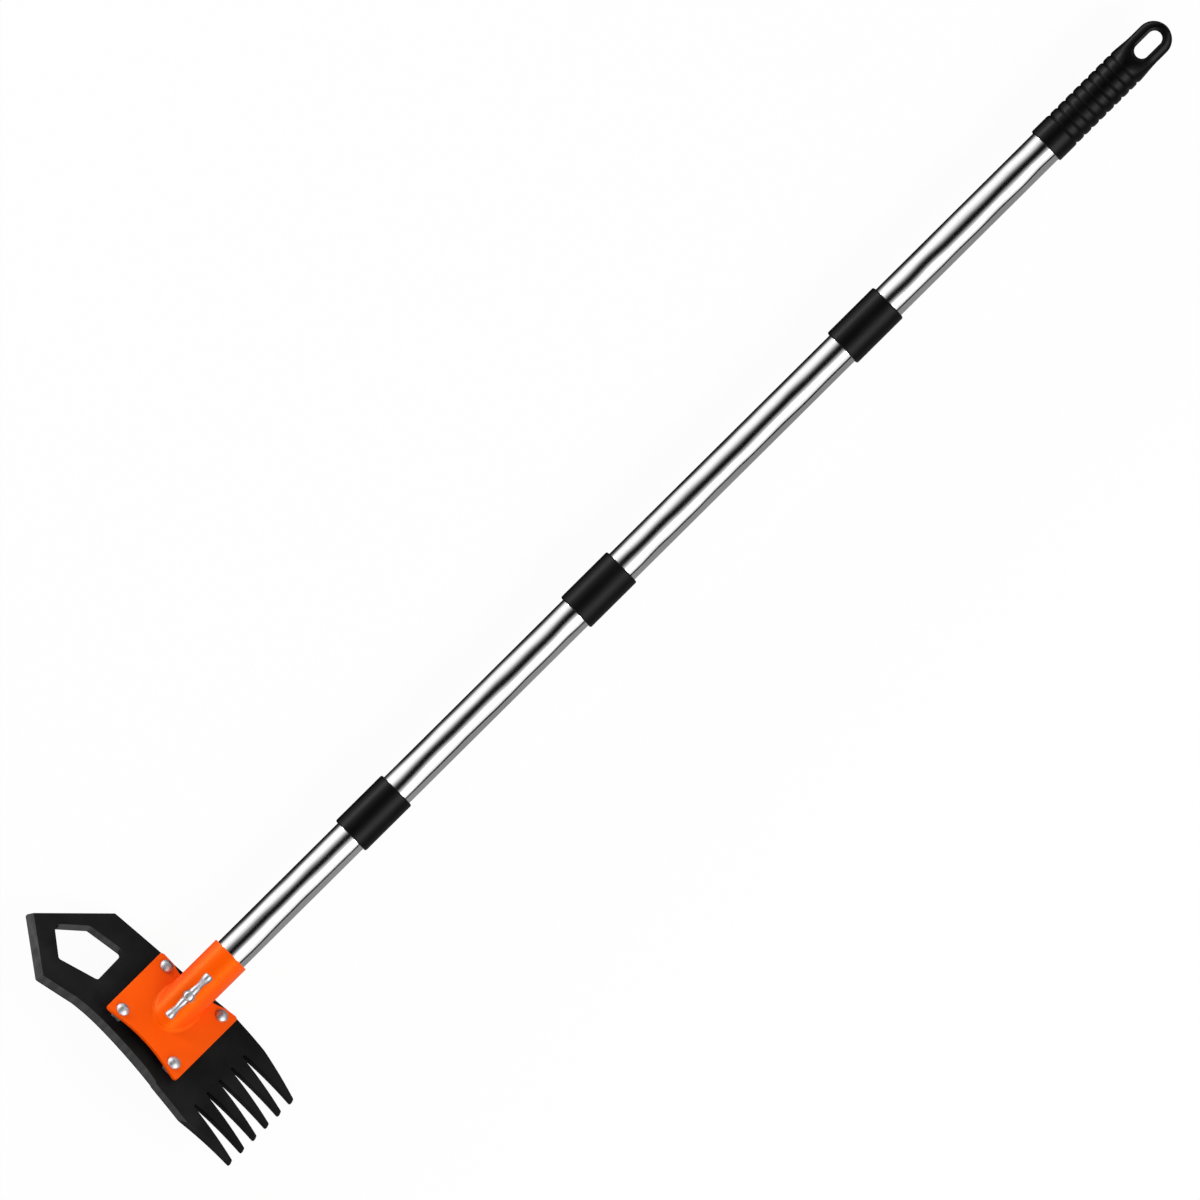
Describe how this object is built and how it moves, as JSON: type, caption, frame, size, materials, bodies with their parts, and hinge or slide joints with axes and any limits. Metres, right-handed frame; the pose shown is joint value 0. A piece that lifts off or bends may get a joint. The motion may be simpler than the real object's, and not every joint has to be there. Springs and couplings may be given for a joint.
{
  "type": "hoe and rake combination tool",
  "caption": "Long handled garden tool with a steel hoe and rake head on a pole that screws apart for storage.",
  "frame": {"origin": "centre of the blade's flat back face, behind the socket plate", "axes": "+X along the pole from the head to the grip, +Y along the blade towards the hoe end, +Z towards the side with the wing screw"},
  "size_m": [1.0205, 0.2216, 0.0631],
  "materials": {
    "black_steel": "black oxide, ground edges",
    "orange_enamel": "gloss powder coat",
    "stainless": "polished stainless steel",
    "zinc": "bright zinc",
    "black_plastic": "satin",
    "grip_plastic": "satin"
  },
  "bodies": {
    "head": {"blade": "black_steel", "socket_plate": "orange_enamel", "plate_bolt_1": "zinc", "plate_bolt_2": "zinc", "plate_bolt_3": "zinc", "plate_bolt_4": "zinc", "spacer_nut_1": "zinc", "spacer_nut_2": "zinc", "spacer_nut_3": "zinc", "spacer_nut_4": "zinc", "back_nut_1": "zinc", "back_nut_2": "zinc", "back_nut_3": "zinc", "back_nut_4": "zinc", "pole_tube_1": "stainless", "tube_nut": "zinc", "threaded_insert_1": "black_plastic"},
    "washer": {"wing_washer": "zinc"},
    "wing": {"wing_screw": "zinc"},
    "sleeve_1": {"coupler_sleeve_1": "black_plastic"},
    "section_2": {"threaded_stud_1": "black_plastic", "pole_tube_2": "stainless", "threaded_insert_2": "black_plastic"},
    "sleeve_2": {"coupler_sleeve_2": "black_plastic"},
    "section_3": {"threaded_stud_2": "black_plastic", "pole_tube_3": "stainless", "threaded_insert_3": "black_plastic"},
    "sleeve_3": {"coupler_sleeve_3": "black_plastic"},
    "section_4": {"threaded_stud_3": "black_plastic", "pole_tube_4": "stainless", "grip": "grip_plastic"}
  },
  "joints": [
    {"name": "coupler_1_travel", "type": "slide", "parent": "head", "child": "sleeve_1", "axis": [1, 0, 0], "range_m": [0, 0.015]},
    {"name": "section_2_unscrew", "type": "hinge", "parent": "sleeve_1", "child": "section_2", "pos_m": [0.1999, 0, 0.0065], "axis": [1, 0, 0], "range_deg": [0, 1800]},
    {"name": "coupler_2_travel", "type": "slide", "parent": "section_2", "child": "sleeve_2", "axis": [1, 0, 0], "range_m": [0, 0.015]},
    {"name": "section_3_unscrew", "type": "hinge", "parent": "sleeve_2", "child": "section_3", "pos_m": [0.4193, 0, 0.0065], "axis": [1, 0, 0], "range_deg": [0, 1800]},
    {"name": "coupler_3_travel", "type": "slide", "parent": "section_3", "child": "sleeve_3", "axis": [1, 0, 0], "range_m": [0, 0.015]},
    {"name": "section_4_unscrew", "type": "hinge", "parent": "sleeve_3", "child": "section_4", "pos_m": [0.6791, 0, 0.0065], "axis": [1, 0, 0], "range_deg": [0, 1800]},
    {"name": "washer_travel", "type": "slide", "parent": "head", "child": "washer", "axis": [0, 0, 1], "range_m": [0, 0.003]},
    {"name": "wing_screw_turn", "type": "hinge", "parent": "washer", "child": "wing", "pos_m": [0.0198, 0, 0.03], "axis": [0, 0, 1], "range_deg": [0, 1080]}
  ],
  "couplings": [
    {"joint": "section_2_unscrew", "follows": "coupler_1_travel", "rad_per_m": 2094.4},
    {"joint": "section_3_unscrew", "follows": "coupler_2_travel", "rad_per_m": 2094.4},
    {"joint": "section_4_unscrew", "follows": "coupler_3_travel", "rad_per_m": 2094.4},
    {"joint": "wing_screw_turn", "follows": "washer_travel", "rad_per_m": 6283.2}
  ]
}
